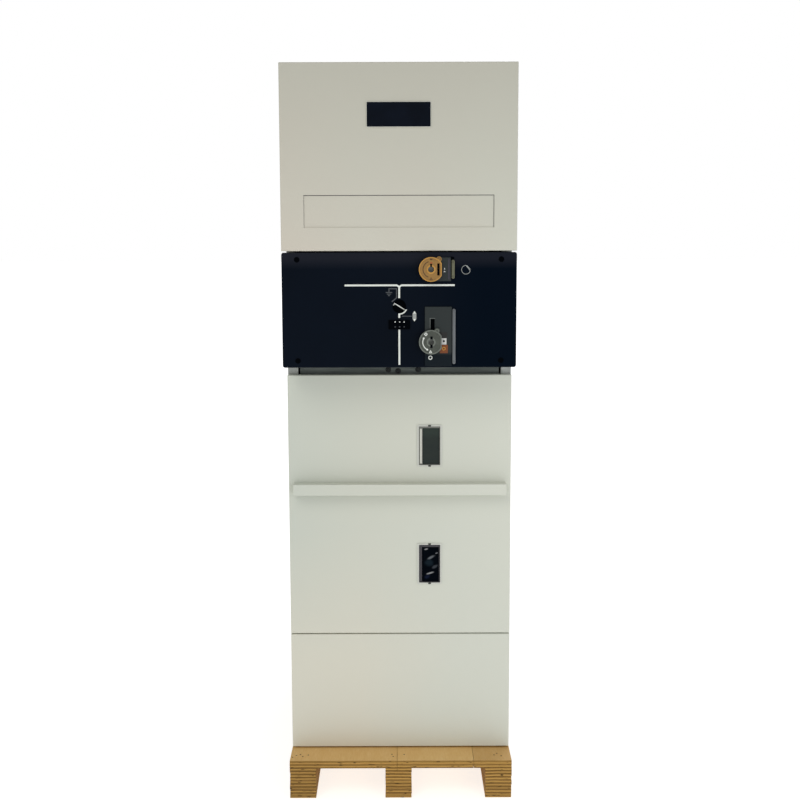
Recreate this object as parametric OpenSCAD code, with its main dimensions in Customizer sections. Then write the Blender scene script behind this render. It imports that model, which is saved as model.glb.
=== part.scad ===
// Medium-voltage gas-insulated switch cubicle, standing on its plywood transport pallet.
// Millimetres. X runs across the front, the front faces -Y, Z is up.
// The origin is on the floor, under the middle of the pallet.

/* [Cubicle] */
// Width of the cubicle over its side panels
body_w = 500; // [420:5:620]
// Depth of the cable compartment, from its front panels to the rear panel
body_d = 840; // [600:10:1000]
// Thickness of the folded sheet steel
sheet_t = 2; // [1.5:0.5:3]
// Depth of the folded returns behind the front panels
panel_return = 20; // [12:1:30]
// Corner radius of the front panels
panel_corner_r = 4; // [1:1:8]
// Width of the flange folded in along the front of each side panel
flange_w = 23; // [16:1:30]

/* [Lower front panels] */
// Height of the bottom front panel
bottom_panel_h = 269; // [180:1:360]
// Height of the cable compartment front panel
cable_panel_h = 594; // [560:1:700]
// Gap between the pallet and the bottom front panel
foot_gap = 3; // [2:1:8]
// Gap between the two lower front panels
seam_gap = 2; // [1:0.5:4]
// Height of the lift ledge
ledge_h = 25; // [15:1:40]
// How far the lift ledge stands out
ledge_out = 28; // [15:1:45]
// Bottom of the lift ledge, above the cubicle's foot
ledge_up = 600; // [560:1:640]
// Gap from each end of the lift ledge to the side of the cubicle
ledge_inset = 12; // [5:1:40]

/* [Inspection windows] */
// Sideways distance from the middle to the centre of both windows
window_x = 67; // [20:1:120]
// Height of the upper window's centre, above the cubicle's foot
upper_window_up = 708; // [690:1:760]
// Height of the lower window's centre, above the cubicle's foot
lower_window_up = 437; // [380:1:520]
// Width of the window panes
pane_w = 46; // [30:1:60]
// Height of the window panes
pane_h = 84; // [60:1:100]
// Thickness of the window panes
pane_t = 3; // [2:0.5:5]
// Width of the window frame around its pane
frame_border = 5.5; // [4:0.5:14]
// How far the window frame stands out of the panel
frame_out = 1.5; // [1:0.5:4]
// Clearance around the window frame in its panel
window_clear = 0.3; // [0.1:0.1:0.6]

/* [Mechanism compartment] */
// How far the mechanism cover and the control cabinet stand out
upper_out = 100; // [60:5:160]
// Height of the open strip between the lower panels and the cover
strip_gap = 26; // [15:1:40]
// Height of the mechanism cover
cover_h = 245; // [235:1:300]
// Depth of the mechanism cover's rim
cover_rim = 25; // [12:1:40]
// Corner radius of the mechanism cover
cover_corner_r = 5; // [1:1:10]
// Distance from the back of the cover to the plate that carries the shafts
carrier_back = 48; // [40:1:70]
// Distance of the cover's screws from its sides
cover_screw_in = 33; // [15:1:50]
// Distance of the cover's screws from its top and bottom
cover_screw_edge = 15; // [10:1:25]
// Radius of the cover's screw caps
cover_screw_r = 5.8; // [3:0.1:8]
// How far the screw caps stand out
cover_screw_out = 1.2; // [0.5:0.1:3]

/* [Operating dials] */
// Sideways distance from the middle to both dial shafts
dial_x = 67.5; // [50:0.5:90]
// Height of the earthing dial's shaft above the cover's bottom
earthing_dial_up = 209; // [190:1:212]
// Height of the line switch dial's shaft above the cover's bottom
switch_dial_up = 55; // [40:1:70]
// Radius of the dials
dial_r = 26; // [20:0.5:28]
// Thickness of the dials
dial_t = 4; // [3:0.5:8]
// Height of the rim around each dial's face
dial_rim_out = 1.5; // [0.5:0.5:3]
// Width of the rim around each dial's face
dial_rim_w = 2.5; // [1.5:0.5:5]
// Distance from a dial's shaft to the flat on its right side
dial_flat = 22.5; // [20:0.5:26]
// Running gap between a dial and the plate behind it
dial_gap = 5; // [5:0.5:8]
// Radius of a dial's padlock ear
ear_r = 5.7; // [4:0.1:7]
// Distance from a dial's edge out to the middle of its padlock ear
ear_out = 2; // [0:0.5:3]
// Radius of the dial shafts
shaft_r = 8.5; // [7.5:0.1:10]
// Radius of the lever socket in a dial's shaft
socket_r = 6.3; // [4:0.1:6.5]
// Depth of the lever socket
socket_depth = 22; // [12:1:30]
// Width of the key slot beside the lever socket
key_w = 5.5; // [3:0.5:7]
// Distance from the shaft to the end of the key slot
key_reach = 11.5; // [9:0.5:14]
// Depth of the key slot
key_depth = 2; // [1:0.5:3]
// Running clearance of a shaft in the carrier plate
bearing_clear = 0.1; // [0.05:0.05:0.3]
// Clearance of a shaft in the cover and the plates on it
shaft_clear = 1.5; // [1:0.5:3]

/* [Operator plates] */
// Thickness of the operator plates
plate_t = 3; // [2:0.5:5]
// Width of the line switch operator plate
switch_plate_w = 57.5; // [50:0.5:70]
// Height of the line switch operator plate
switch_plate_h = 127; // [110:1:140]
// Distance from the switch plate's left edge to the dial shaft
switch_plate_left = 13; // [11.5:0.5:16]
// Distance of the switch plate's bottom from the cover's bottom
switch_plate_up = 3; // [1:1:10]
// Width of the interlock slot above the line switch dial
interlock_slot_w = 8.5; // [5:0.5:10]
// Length of the interlock slot
interlock_slot_h = 32; // [20:1:40]
// Bottom of the interlock slot above the line switch shaft
interlock_slot_up = 17; // [14:1:26]
// Sideways distance from the shaft to the middle of the interlock slot
interlock_slot_x = 3.5; // [0:0.5:8]
// Width of the earthing operator plate, from the dial shaft to its right edge
earthing_plate_w = 42.5; // [36:0.5:50]
// Height of the earthing operator plate
earthing_plate_h = 50; // [44:1:52]
// Width of the slide bars beside the operator plates
slide_bar_w = 6.5; // [4:0.5:9]
// Thickness of the slide bars
slide_bar_t = 5; // [3:0.5:8]
// Gap between an operator plate and its slide bar
slide_bar_gap = 1.2; // [0.5:0.1:3]
// Length of the line switch slide bar
switch_bar_h = 118; // [90:1:125]
// Length of the earthing slide bar
earthing_bar_h = 40; // [30:1:50]

/* [Mimic diagram] */
// Height of the position indicator's shaft above the cover's bottom
indicator_up = 131; // [120:1:140]
// Radius of the round window over the position indicator
indicator_window_r = 14.5; // [12:0.5:18]
// Radius of the position indicator disc
indicator_r = 21; // [19:0.5:24]
// Thickness of the position indicator disc
indicator_t = 2; // [1.5:0.5:4]
// Gap between the cover and the position indicator disc
indicator_gap = 5; // [5:0.5:8]
// Radius of the position indicator's shaft
indicator_shaft_r = 4; // [3:0.5:6]
// Width of the voltage indicator
voltage_w = 46; // [40:1:60]
// Height of the voltage indicator
voltage_h = 20; // [14:1:24]
// How far the voltage indicator stands out
voltage_out = 2.5; // [1:0.5:5]
// Height of the voltage indicator's centre above the cover's bottom
voltage_up = 92; // [85:1:100]
// Sideways distance from the middle to the voltage indicator's centre
voltage_x = 0; // [0:1:6]

/* [Control cabinet] */
// Gap between the mechanism cover and the control cabinet
cabinet_gap = 3; // [2:1:6]
// Height of the control cabinet
cabinet_h = 390; // [300:5:500]
// Depth of the control cabinet
cabinet_d = 400; // [300:5:500]
// Width of the display window
display_w = 135; // [100:1:180]
// Height of the display window
display_h = 52; // [30:1:80]
// Height of the display window's centre above the cabinet's bottom
display_up = 283; // [220:1:330]
// How far the display window stands out
display_out = 3; // [1:0.5:6]
// Lip of the display window over its cut-out
display_lip = 4; // [2:0.5:8]
// Width of the recessed label strip
strip_w = 402; // [300:1:410]
// Height of the recessed label strip
strip_h = 68; // [40:1:90]
// Height of the label strip's centre above the cabinet's bottom
strip_up = 83; // [60:1:110]
// Lip of the label strip behind its cut-out
strip_lip = 8; // [4:1:12]

/* [Cross member] */
// Thickness of the cross member
cross_t = 3; // [2:0.5:5]
// Height of the cross member
cross_h = 64; // [40:1:80]
// How far the cross member reaches below the top of the lower panels
cross_down = 26; // [10:1:40]
// Width of the slots at the ends of the cross member
cross_slot_w = 4; // [3:0.5:8]
// Width of the bolted plate on the cross member
latch_plate_w = 82; // [60:1:120]
// Height of the bolted plate on the cross member
latch_plate_h = 40; // [30:1:50]
// Sideways distance from the middle to the bolted plate's centre
latch_plate_x = 7; // [0:1:20]

/* [Cable compartment] */
// Height of the folded rim of the floor tray
tray_rim = 40; // [20:1:80]
// Thickness of the tank floor above the cables
tank_floor_t = 4; // [3:1:8]
// Radius of the cable terminations
termination_r = 27; // [20:1:32]
// Length of the cable terminations under the tank floor
termination_h = 480; // [300:10:600]
// Radius of the cables
cable_r = 15; // [10:1:20]
// Distance between the cable terminations
termination_pitch = 120; // [90:5:140]
// Distance of the cable terminations behind the lower front panels
termination_back = 190; // [120:5:300]
// Sideways shift of each cable between its termination and the floor tray
cable_shift = 60; // [0:5:80]

/* [Pallet] */
// How far the pallet reaches out in front of and behind the cubicle
pallet_out = 72; // [40:1:120]
// How far the pallet reaches out beside the cubicle
pallet_side = 1; // [0:1:20]
// Thickness of the plywood deck
deck_t = 18; // [12:1:24]
// Height of the bearers
bearer_h = 70; // [50:1:100]
// Width of the bearers
bearer_w = 60; // [40:1:90]
// Sideways place of the middle bearer
middle_bearer_x = -5; // [-15:1:15]

/* [Hidden] */
$fn = 64;

// Small overlap used only by cutting solids, so that they pass right through.
cut = 1;

// Heights, from the floor up.
z_foot = bearer_h + deck_t;
z_bottom_panel = z_foot + foot_gap;
z_cable_panel = z_bottom_panel + bottom_panel_h + seam_gap;
z_strip = z_cable_panel + cable_panel_h;
z_cover = z_strip + strip_gap;
z_cover_top = z_cover + cover_h;
z_cabinet = z_cover_top + cabinet_gap;
z_top = z_cabinet + cabinet_h;

// Depths, from the front back.
y_lower = -body_d / 2;
y_upper = y_lower - upper_out;
y_flange = y_lower + panel_return;
y_rear = body_d / 2;
y_cabinet_back = y_upper + cabinet_d;
y_cover_back = y_upper + cover_rim;
y_carrier = y_upper + sheet_t + carrier_back;

// Widths.
x_side = body_w / 2;
x_inner = x_side - sheet_t;
pallet_w = body_w + 2 * pallet_side;
pallet_l = body_d + 2 * pallet_out;

// Windows.
frame_w = pane_w + 2 * frame_border;
frame_h = pane_h + 2 * frame_border;
frame_step = frame_border / 2;
z_upper_window = z_foot + upper_window_up;
z_lower_window = z_foot + lower_window_up;

// Operators.
z_earthing = z_cover + earthing_dial_up;
z_switch = z_cover + switch_dial_up;
z_indicator = z_cover + indicator_up;
y_plate = y_upper - plate_t;
y_dial_back = y_plate - dial_gap;
y_dial_front = y_dial_back - dial_t;
y_indicator = y_upper + sheet_t + indicator_gap;
switch_plate_x = dial_x - switch_plate_left;
interlock_slot_z = z_switch + interlock_slot_up;
ear_reach = dial_r + ear_out;
earthing_ear_angle = 52;
switch_ear_angle = 62;
carrier_t = 3;
shaft_end = 5;

// Solid between two limits on each axis.
module slab(x, y, z) {
    translate([x[0], y[0], z[0]])
        cube([x[1] - x[0], y[1] - y[0], z[1] - z[0]]);
}

// Flat outline with rounded corners, centred on the origin.
module rounded_outline(w, h, r) {
    square([w - 2 * r, h], center = true);
    square([w, h - 2 * r], center = true);
    for (x = [-1, 1], y = [-1, 1])
        translate([x * (w / 2 - r), y * (h / 2 - r)])
            circle(r);
}

// Upright plate with rounded corners, from its front face back.
module upright_plate(w, h, r, x, z, y) {
    translate([x, y[1], z])
        rotate([90, 0, 0])
            linear_extrude(y[1] - y[0])
                rounded_outline(w, h, r);
}

// Round bar or bore along Y.
module round_y(r, x, z, y) {
    translate([x, y[1], z])
        rotate([90, 0, 0])
            cylinder(r = r, h = y[1] - y[0]);
}

// Sheet panel with four returns folded back from its front face.
module folded_panel(z, h, y_front, depth, r) {
    difference() {
        upright_plate(body_w, h, r, 0, z + h / 2, [y_front, y_front + depth]);
        slab([-x_inner, x_inner], [y_front + sheet_t, y_front + depth + cut], [z + sheet_t, z + h - sheet_t]);
    }
}

module pallet_bearer(x) {
    slab([x - bearer_w / 2, x + bearer_w / 2], [-pallet_l / 2, pallet_l / 2], [0, bearer_h]);
}

module pallet_bearer_left() {
    color("burlywood") pallet_bearer(-pallet_w / 2 + bearer_w / 2);
}

module pallet_bearer_middle() {
    color("burlywood") pallet_bearer(middle_bearer_x);
}

module pallet_bearer_right() {
    color("burlywood") pallet_bearer(pallet_w / 2 - bearer_w / 2);
}

module pallet_deck() {
    color("tan")
        slab([-pallet_w / 2, pallet_w / 2], [-pallet_l / 2, pallet_l / 2], [bearer_h, z_foot]);
}

module floor_tray() {
    color("silver")
        difference() {
            slab([-x_inner, x_inner], [y_flange + sheet_t, y_rear - sheet_t], [z_foot, z_foot + tray_rim]);
            slab([-x_inner + sheet_t, x_inner - sheet_t],
                 [y_flange + 2 * sheet_t, y_rear - 2 * sheet_t],
                 [z_foot + sheet_t, z_foot + tray_rim + cut]);
        }
}

module side_panel() {
    color("gainsboro") {
        slab([x_inner, x_side], [y_flange, y_rear - sheet_t], [z_foot, z_cabinet]);
        slab([x_side - flange_w, x_inner], [y_flange, y_flange + sheet_t], [z_foot, z_cabinet]);
    }
}

module side_panel_left() {
    mirror([1, 0, 0]) side_panel();
}

module side_panel_right() {
    side_panel();
}

module rear_panel() {
    color("gainsboro")
        slab([-x_side, x_side], [y_rear - sheet_t, y_rear], [z_foot, z_top]);
}

module bottom_front_panel() {
    color("ivory")
        folded_panel(z_bottom_panel, bottom_panel_h, y_lower, panel_return, panel_corner_r);
}

module window_cut(z) {
    slab([window_x - frame_w / 2 + frame_step - window_clear, window_x + frame_w / 2 - frame_step + window_clear],
         [y_lower - cut, y_lower + sheet_t + cut],
         [z - frame_h / 2 + frame_step - window_clear, z + frame_h / 2 - frame_step + window_clear]);
}

module cable_front_panel() {
    color("ivory")
        difference() {
            folded_panel(z_cable_panel, cable_panel_h, y_lower, panel_return, panel_corner_r);
            window_cut(z_upper_window);
            window_cut(z_lower_window);
        }
}

module lift_ledge() {
    ledge_z = z_foot + ledge_up;
    ledge_x = x_side - ledge_inset;
    color("ivory")
        difference() {
            slab([-ledge_x, ledge_x], [y_lower - ledge_out, y_lower], [ledge_z, ledge_z + ledge_h]);
            slab([-ledge_x + sheet_t, ledge_x - sheet_t],
                 [y_lower - ledge_out + sheet_t, y_lower - sheet_t],
                 [ledge_z - cut, ledge_z + ledge_h - sheet_t]);
        }
}

module window_frame(z) {
    color("white")
        difference() {
            union() {
                upright_plate(frame_w, frame_h, sheet_t, window_x, z, [y_lower - frame_out, y_lower]);
                slab([window_x - frame_w / 2 + frame_step, window_x + frame_w / 2 - frame_step],
                     [y_lower - frame_out, y_lower + sheet_t + pane_t],
                     [z - frame_h / 2 + frame_step, z + frame_h / 2 - frame_step]);
            }
            slab([window_x - pane_w / 2, window_x + pane_w / 2],
                 [y_lower - frame_out - cut, y_lower + sheet_t + pane_t + cut],
                 [z - pane_h / 2, z + pane_h / 2]);
        }
}

module window_pane(z) {
    color("dimgray")
        slab([window_x - pane_w / 2, window_x + pane_w / 2],
             [y_lower + sheet_t, y_lower + sheet_t + pane_t],
             [z - pane_h / 2, z + pane_h / 2]);
}

module upper_window_frame() {
    window_frame(z_upper_window);
}

module upper_window_pane() {
    window_pane(z_upper_window);
}

module lower_window_frame() {
    window_frame(z_lower_window);
}

module lower_window_pane() {
    window_pane(z_lower_window);
}

module tank_floor() {
    z = z_strip - cross_down + cross_h;
    color("silver")
        slab([-x_inner, x_inner], [y_flange + sheet_t, y_rear - sheet_t], [z, z + tank_floor_t]);
}

// One termination hangs from the tank floor, and its cable runs down aslant to the floor tray.
module cable_termination(x) {
    z_hang = z_strip - cross_down + cross_h;
    z_cone = z_hang - termination_h;
    z_tray = z_foot + sheet_t;
    lean = atan(cable_shift / (z_cone - z_tray));
    translate([x, y_lower + termination_back, 0]) {
        translate([0, 0, z_cone])
            cylinder(r = termination_r, h = termination_h);
        translate([0, 0, z_cone])
            sphere(r = termination_r);
        difference() {
            translate([0, 0, z_cone])
                rotate([0, 180 + lean, 0])
                    cylinder(r = cable_r, h = (z_cone - z_tray) / cos(lean) + cable_r);
            translate([-body_w, -body_w, z_tray - body_w])
                cube([2 * body_w, 2 * body_w, body_w]);
        }
    }
}

module cable_terminations() {
    color("black")
        for (i = [-1, 0, 1])
            cable_termination(i * termination_pitch);
}

module cross_member() {
    z = z_strip - cross_down;
    y = y_flange + sheet_t;
    color("darkgray")
        difference() {
            slab([-x_inner, x_inner], [y, y + cross_t], [z, z + cross_h]);
            for (side = [-1, 1])
                slab([side * (x_side - flange_w - cross_slot_w / 2) - cross_slot_w / 2,
                      side * (x_side - flange_w - cross_slot_w / 2) + cross_slot_w / 2],
                     [y - cut, y + cross_t + cut],
                     [z + cross_t, z + cross_h - cross_t]);
        }
}

module latch_plate() {
    color("silver")
        slab([latch_plate_x - latch_plate_w / 2, latch_plate_x + latch_plate_w / 2],
             [y_flange, y_flange + sheet_t],
             [z_strip - latch_plate_h / 2, z_strip + latch_plate_h / 2]);
}

module mechanism_cheek(side) {
    x = side > 0 ? [x_inner, x_side] : [-x_side, -x_inner];
    color("gainsboro")
        slab(x, [y_cover_back, y_flange], [z_cover, z_cover_top]);
}

module mechanism_cheek_left() {
    mechanism_cheek(-1);
}

module mechanism_cheek_right() {
    mechanism_cheek(1);
}

module mechanism_deck(z) {
    color("gainsboro")
        slab([-x_inner, x_inner], [y_cover_back, y_flange], [z, z + sheet_t]);
}

module mechanism_top() {
    mechanism_deck(z_cover_top - sheet_t);
}

module mechanism_bottom() {
    mechanism_deck(z_cover);
}

module shaft_carrier_plate() {
    y = [y_carrier, y_carrier + carrier_t];
    through = [y[0] - cut, y[1] + cut];
    color("silver")
        difference() {
            slab([-x_inner, x_inner], y, [z_cover + sheet_t, z_cover_top - sheet_t]);
            round_y(shaft_r + bearing_clear, dial_x, z_earthing, through);
            round_y(shaft_r + bearing_clear, dial_x, z_switch, through);
            round_y(indicator_shaft_r + bearing_clear, 0, z_indicator, through);
        }
}

module interlock_slot(y) {
    x = dial_x + interlock_slot_x;
    slab([x - interlock_slot_w / 2, x + interlock_slot_w / 2], y,
         [interlock_slot_z, interlock_slot_z + interlock_slot_h]);
}

module mimic_cover() {
    through = [y_upper - cut, y_upper + sheet_t + cut];
    color("midnightblue")
        difference() {
            folded_panel(z_cover, cover_h, y_upper, cover_rim, cover_corner_r);
            round_y(shaft_r + shaft_clear, dial_x, z_earthing, through);
            round_y(shaft_r + shaft_clear, dial_x, z_switch, through);
            round_y(indicator_window_r, 0, z_indicator, through);
            interlock_slot(through);
        }
}

module cover_screw_caps() {
    color("black")
        for (side = [-1, 1], z = [z_cover + cover_screw_edge, z_cover_top - cover_screw_edge])
            round_y(cover_screw_r, side * (x_side - cover_screw_in), z, [y_upper - cover_screw_out, y_upper]);
}

module earthing_operator_plate() {
    color("dimgray")
        difference() {
            union() {
                round_y(earthing_plate_h / 2, dial_x, z_earthing, [y_plate, y_upper]);
                slab([dial_x, dial_x + earthing_plate_w], [y_plate, y_upper],
                     [z_earthing - earthing_plate_h / 2, z_earthing + earthing_plate_h / 2]);
            }
            round_y(shaft_r + shaft_clear, dial_x, z_earthing, [y_plate - cut, y_upper + cut]);
        }
}

// Upright bar with round ends, beside an operator plate.
module slide_bar(x, z, h) {
    r = slide_bar_w / 2;
    y = [y_upper - slide_bar_t, y_upper];
    slab([x, x + slide_bar_w], y, [z + r, z + h - r]);
    for (end_z = [z + r, z + h - r])
        round_y(r, x + r, end_z, y);
}

module earthing_slide_bar() {
    color("darkkhaki")
        slide_bar(dial_x + earthing_plate_w + slide_bar_gap, z_earthing - earthing_bar_h / 2, earthing_bar_h);
}

module switch_operator_plate() {
    z = z_cover + switch_plate_up;
    color("dimgray")
        difference() {
            slab([switch_plate_x, switch_plate_x + switch_plate_w], [y_plate, y_upper], [z, z + switch_plate_h]);
            round_y(shaft_r + shaft_clear, dial_x, z_switch, [y_plate - cut, y_upper + cut]);
            interlock_slot([y_plate - cut, y_upper + cut]);
        }
}

module switch_slide_bar() {
    z = z_cover + switch_plate_up + (switch_plate_h - switch_bar_h) / 2;
    color("silver")
        slide_bar(switch_plate_x + switch_plate_w + slide_bar_gap, z, switch_bar_h);
}

// Round dial with a flat on its right, a rim, a padlock ear and a shaft with a lever socket.
module dial(z, ear_angle) {
    face = [y_dial_front - dial_rim_out, y_dial_back];
    difference() {
        union() {
            intersection() {
                round_y(dial_r, dial_x, z, face);
                slab([dial_x - dial_r, dial_x + dial_flat], face, [z - dial_r, z + dial_r]);
            }
            round_y(ear_r, dial_x + ear_reach * cos(ear_angle), z + ear_reach * sin(ear_angle),
                    [y_dial_front, y_dial_back]);
            round_y(shaft_r, dial_x, z, [y_dial_back, y_carrier + carrier_t + shaft_end]);
        }
        intersection() {
            round_y(dial_r - dial_rim_w, dial_x, z, [face[0] - cut, y_dial_front]);
            slab([dial_x - dial_r, dial_x + dial_flat - dial_rim_w], [face[0] - cut, y_dial_front],
                 [z - dial_r, z + dial_r]);
        }
        round_y(socket_r, dial_x, z, [face[0] - cut, y_dial_front + socket_depth]);
        slab([dial_x - key_w / 2, dial_x + key_w / 2], [y_dial_front - cut, y_dial_front + key_depth],
             [z, z + key_reach]);
    }
}

module earthing_dial() {
    color("goldenrod") dial(z_earthing, earthing_ear_angle);
}

module switch_dial() {
    color("gray") dial(z_switch, switch_ear_angle);
}

module position_indicator() {
    color("black") {
        round_y(indicator_r, 0, z_indicator, [y_indicator, y_indicator + indicator_t]);
        round_y(indicator_shaft_r, 0, z_indicator, [y_indicator, y_carrier + carrier_t + shaft_end]);
    }
}

module voltage_indicator() {
    color("black")
        upright_plate(voltage_w, voltage_h, sheet_t, voltage_x, z_cover + voltage_up, [y_upper - voltage_out, y_upper]);
}

module cabinet_front() {
    through = [y_upper - cut, y_upper + sheet_t + cut];
    color("ivory")
        difference() {
            folded_panel(z_cabinet, cabinet_h, y_upper, panel_return, panel_corner_r);
            slab([-display_w / 2 + display_lip, display_w / 2 - display_lip], through,
                 [z_cabinet + display_up - display_h / 2 + display_lip,
                  z_cabinet + display_up + display_h / 2 - display_lip]);
            slab([-strip_w / 2, strip_w / 2], through,
                 [z_cabinet + strip_up - strip_h / 2, z_cabinet + strip_up + strip_h / 2]);
        }
}

module display_window() {
    color("black")
        upright_plate(display_w, display_h, sheet_t, 0, z_cabinet + display_up, [y_upper - display_out, y_upper]);
}

module label_strip() {
    y = y_upper + sheet_t;
    color("ivory")
        slab([-strip_w / 2 - strip_lip, strip_w / 2 + strip_lip], [y, y + sheet_t],
             [z_cabinet + strip_up - strip_h / 2 - strip_lip, z_cabinet + strip_up + strip_h / 2 + strip_lip]);
}

module upper_side(side, y) {
    x = side > 0 ? [x_inner, x_side] : [-x_side, -x_inner];
    color("gainsboro")
        slab(x, y, [z_cabinet + sheet_t, z_top - sheet_t]);
}

module cabinet_side_left() {
    upper_side(-1, [y_upper + panel_return, y_cabinet_back]);
}

module cabinet_side_right() {
    upper_side(1, [y_upper + panel_return, y_cabinet_back]);
}

module cabinet_plate(z) {
    color("gainsboro")
        slab([-x_side, x_side], [y_upper + panel_return, y_cabinet_back], [z, z + sheet_t]);
}

module cabinet_roof() {
    cabinet_plate(z_top - sheet_t);
}

module cabinet_floor() {
    cabinet_plate(z_cabinet);
}

module cabinet_rear() {
    color("gainsboro")
        slab([-x_inner, x_inner], [y_cabinet_back - sheet_t, y_cabinet_back],
             [z_cabinet + sheet_t, z_top - sheet_t]);
}

module busbar_side(side) {
    x = side > 0 ? [x_inner, x_side] : [-x_side, -x_inner];
    color("gainsboro")
        slab(x, [y_cabinet_back, y_rear - sheet_t], [z_cabinet, z_top - sheet_t]);
}

module busbar_side_left() {
    busbar_side(-1);
}

module busbar_side_right() {
    busbar_side(1);
}

module busbar_roof() {
    color("gainsboro")
        slab([-x_side, x_side], [y_cabinet_back, y_rear - sheet_t], [z_top - sheet_t, z_top]);
}

pallet_bearer_left();
pallet_bearer_middle();
pallet_bearer_right();
pallet_deck();
floor_tray();
side_panel_left();
side_panel_right();
rear_panel();
bottom_front_panel();
cable_front_panel();
lift_ledge();
upper_window_frame();
upper_window_pane();
lower_window_frame();
lower_window_pane();
tank_floor();
cable_terminations();
cross_member();
latch_plate();
mechanism_cheek_left();
mechanism_cheek_right();
mechanism_top();
mechanism_bottom();
shaft_carrier_plate();
mimic_cover();
cover_screw_caps();
earthing_operator_plate();
earthing_slide_bar();
earthing_dial();
switch_operator_plate();
switch_slide_bar();
switch_dial();
position_indicator();
voltage_indicator();
cabinet_front();
cabinet_side_left();
cabinet_side_right();
cabinet_roof();
cabinet_floor();
cabinet_rear();
display_window();
label_strip();
busbar_side_left();
busbar_side_right();
busbar_roof();
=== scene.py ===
"""Looks of a narrow gas insulated switch cubicle that stands on its plywood pallet.

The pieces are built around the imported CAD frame, in metres, +Z up, with the front facing -Y.
"""

import math
import random
from functools import partial

import bmesh
import bpy
from mathutils import Matrix, Vector


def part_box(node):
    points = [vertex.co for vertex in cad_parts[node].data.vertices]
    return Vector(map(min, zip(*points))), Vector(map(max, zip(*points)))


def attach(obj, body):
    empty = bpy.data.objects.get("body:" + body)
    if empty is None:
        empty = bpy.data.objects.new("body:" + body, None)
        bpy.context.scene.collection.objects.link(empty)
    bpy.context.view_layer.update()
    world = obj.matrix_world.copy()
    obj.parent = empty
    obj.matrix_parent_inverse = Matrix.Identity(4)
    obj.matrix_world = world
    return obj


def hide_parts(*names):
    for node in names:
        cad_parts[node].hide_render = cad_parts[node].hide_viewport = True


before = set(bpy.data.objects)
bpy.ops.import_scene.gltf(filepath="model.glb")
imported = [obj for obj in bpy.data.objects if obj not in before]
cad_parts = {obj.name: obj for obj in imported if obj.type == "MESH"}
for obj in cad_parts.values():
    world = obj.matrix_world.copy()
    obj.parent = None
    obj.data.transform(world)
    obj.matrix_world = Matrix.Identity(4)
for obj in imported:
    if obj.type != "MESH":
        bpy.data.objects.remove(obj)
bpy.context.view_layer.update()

# ----------------------------
# Pallet bearers: three runners under the cubicle, glued up from strips of plywood and sawn to
# length. Their ends show the layers one above another, with dark glue lines and small voids.

MM = 0.001
BEARER_LAYER = 10 * MM
BEARER_RAGGED = 1.1 * MM
BEARER_TONE = 0.35
VENEER = 3.7 * MM
# A mix node's output and inputs by the kind of data that it mixes.
MIX_SOCKETS = {"RGBA": (2, (0, 6, 7)), "VECTOR": (1, (0, 4, 5)), "FLOAT": (0, (0, 2, 3))}


def linear(hex_code):
    """Linear colour of an sRGB hex colour."""
    shares = [int(hex_code[i:i + 2], 16) / 255 for i in (0, 2, 4)]
    return [s / 12.92 if s <= 0.04045 else ((s + 0.055) / 1.055) ** 2.4 for s in shares] + [1.0]


def feed(node, inputs):
    """Gives each input a value, an sRGB hex colour or the socket that feeds it."""
    for key, value in inputs.items():
        socket = node.inputs[key]
        if isinstance(value, bpy.types.NodeSocket):
            node.id_data.links.new(value, socket)
        else:
            socket.default_value = linear(value) if isinstance(value, str) else value


def add_node(tree, kind, *inputs, out=0, **values):
    """Adds a node and returns one of its outputs.

    Inputs go in order, or by name with a capital letter; a mix takes a share and two values, by
    default colours. Names in small letters are the node's settings.
    """
    node = tree.nodes.new(kind if "Node" in kind else "ShaderNode" + kind)
    order = range(len(inputs))
    if kind == "Mix":
        out, order = MIX_SOCKETS[values.setdefault("data_type", "RGBA")]
    for key in [key for key in values if key[0].islower()]:
        setattr(node, key, values.pop(key))
    feed(node, dict(zip(order, inputs)) | {key.replace("_", " "): v for key, v in values.items()})
    return node.outputs[out] if node.outputs else None


def start_finish(name, **shader_values):
    """A new material, its node adder, its shader and the place of each point on the object."""
    material = bpy.data.materials.new(name)
    material.use_nodes = True
    material.node_tree.nodes.clear()
    add = partial(add_node, material.node_tree)
    shader = add("BsdfPrincipled", **shader_values)
    add("OutputMaterial", shader)
    return material, add, shader.node, add("TexCoord", out="Object")


def add_box(bm, low, high):
    """Adds a closed box between two corners and returns its faces."""
    (x0, y0, z0), (x1, y1, z1) = low, high
    corners = [bm.verts.new((x, y, z)) for z in (z0, z1) for y in (y0, y1) for x in (x0, x1)]
    sides = [(0, 2, 3, 1), (4, 5, 7, 6), (0, 1, 5, 4), (2, 6, 7, 3), (0, 4, 6, 2), (1, 3, 7, 5)]
    return [bm.faces.new([corners[i] for i in side]) for side in sides]


def add_object(name, data):
    thing = bpy.data.objects.new(name, data)
    bpy.context.scene.collection.objects.link(thing)
    return thing


def make_piece(name, bm, finish, slot, replaces=(), body="cubicle", rounded=0.0, steps=2, angle=30):
    """Turns a built mesh into a finished piece that rides on its body."""
    mesh = bpy.data.meshes.new(name)
    bm.to_mesh(mesh)
    bm.free()
    for material in finish if isinstance(finish, list) else [finish]:
        mesh.materials.append(material)
    mesh.polygons.foreach_set("use_smooth", [True] * len(mesh.polygons))
    piece = add_object(name, mesh)
    if rounded:
        edge = piece.modifiers.new("rounded edges", "BEVEL")
        edge.width = rounded
        edge.segments = steps
        edge.limit_method = "ANGLE"
        edge.angle_limit = math.radians(angle)
        edge.use_clamp_overlap = False
        edge.mark_sharp = True
        flats = piece.modifiers.new("flat faces stay flat", "WEIGHTED_NORMAL")
        flats.keep_sharp = True
        flats.weight = 100
    else:
        mesh.set_sharp_from_angle(angle=math.radians(angle))
    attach(piece, body)
    if replaces:
        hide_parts(*replaces)
    return piece


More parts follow.
